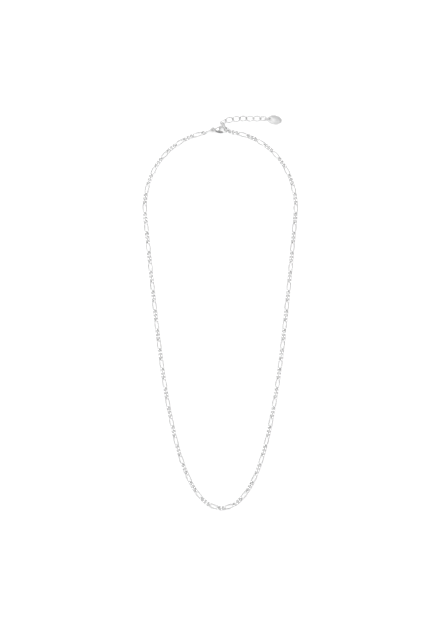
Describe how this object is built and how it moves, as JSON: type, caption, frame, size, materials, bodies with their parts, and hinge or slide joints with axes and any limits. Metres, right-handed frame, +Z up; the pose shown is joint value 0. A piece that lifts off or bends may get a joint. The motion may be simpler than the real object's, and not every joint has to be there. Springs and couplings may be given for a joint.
{
  "type": "figaro chain necklace with oval tag",
  "caption": "Fine silver curb chain of long and short links in a closed loop, with a lobster clasp, an extender chain and a small oval tag.",
  "frame": {"origin": "middle of the whole necklace's outline, on the surface that it lies on", "axes": "+X to the right of the picture, +Y up the picture from the bottom of the loop to the clasp, +Z up from the surface to the camera"},
  "size_m": [0.1056, 0.269, 0.0033],
  "materials": {
    "chain_silver": "polished silver",
    "clasp_silver": "polished silver",
    "tag_silver": "satin silver"
  },
  "bodies": {
    "necklace": {"chain_left": "chain_silver", "chain_right": "chain_silver", "clasp_body": "clasp_silver", "clasp_rivet": "clasp_silver", "clasp_jump_ring": "chain_silver", "end_jump_ring": "chain_silver", "extender_link_1": "chain_silver", "extender_link_2": "chain_silver", "extender_link_3": "chain_silver", "extender_link_4": "chain_silver", "extender_link_5": "chain_silver", "extender_link_6": "chain_silver", "extender_link_7": "chain_silver", "extender_link_8": "chain_silver", "tag_ring": "chain_silver", "tag": "tag_silver"},
    "lever": {"clasp_lever": "clasp_silver"}
  },
  "joints": [
    {"name": "lever_hinge", "type": "hinge", "parent": "necklace", "child": "lever", "pos_m": [-0.00201, 0.12439, 0.0013], "axis": [0, 0, 1], "range_deg": [0, 25], "stiffness_Nm_per_rad": 0.0001, "springref_deg": -17.19}
  ]
}
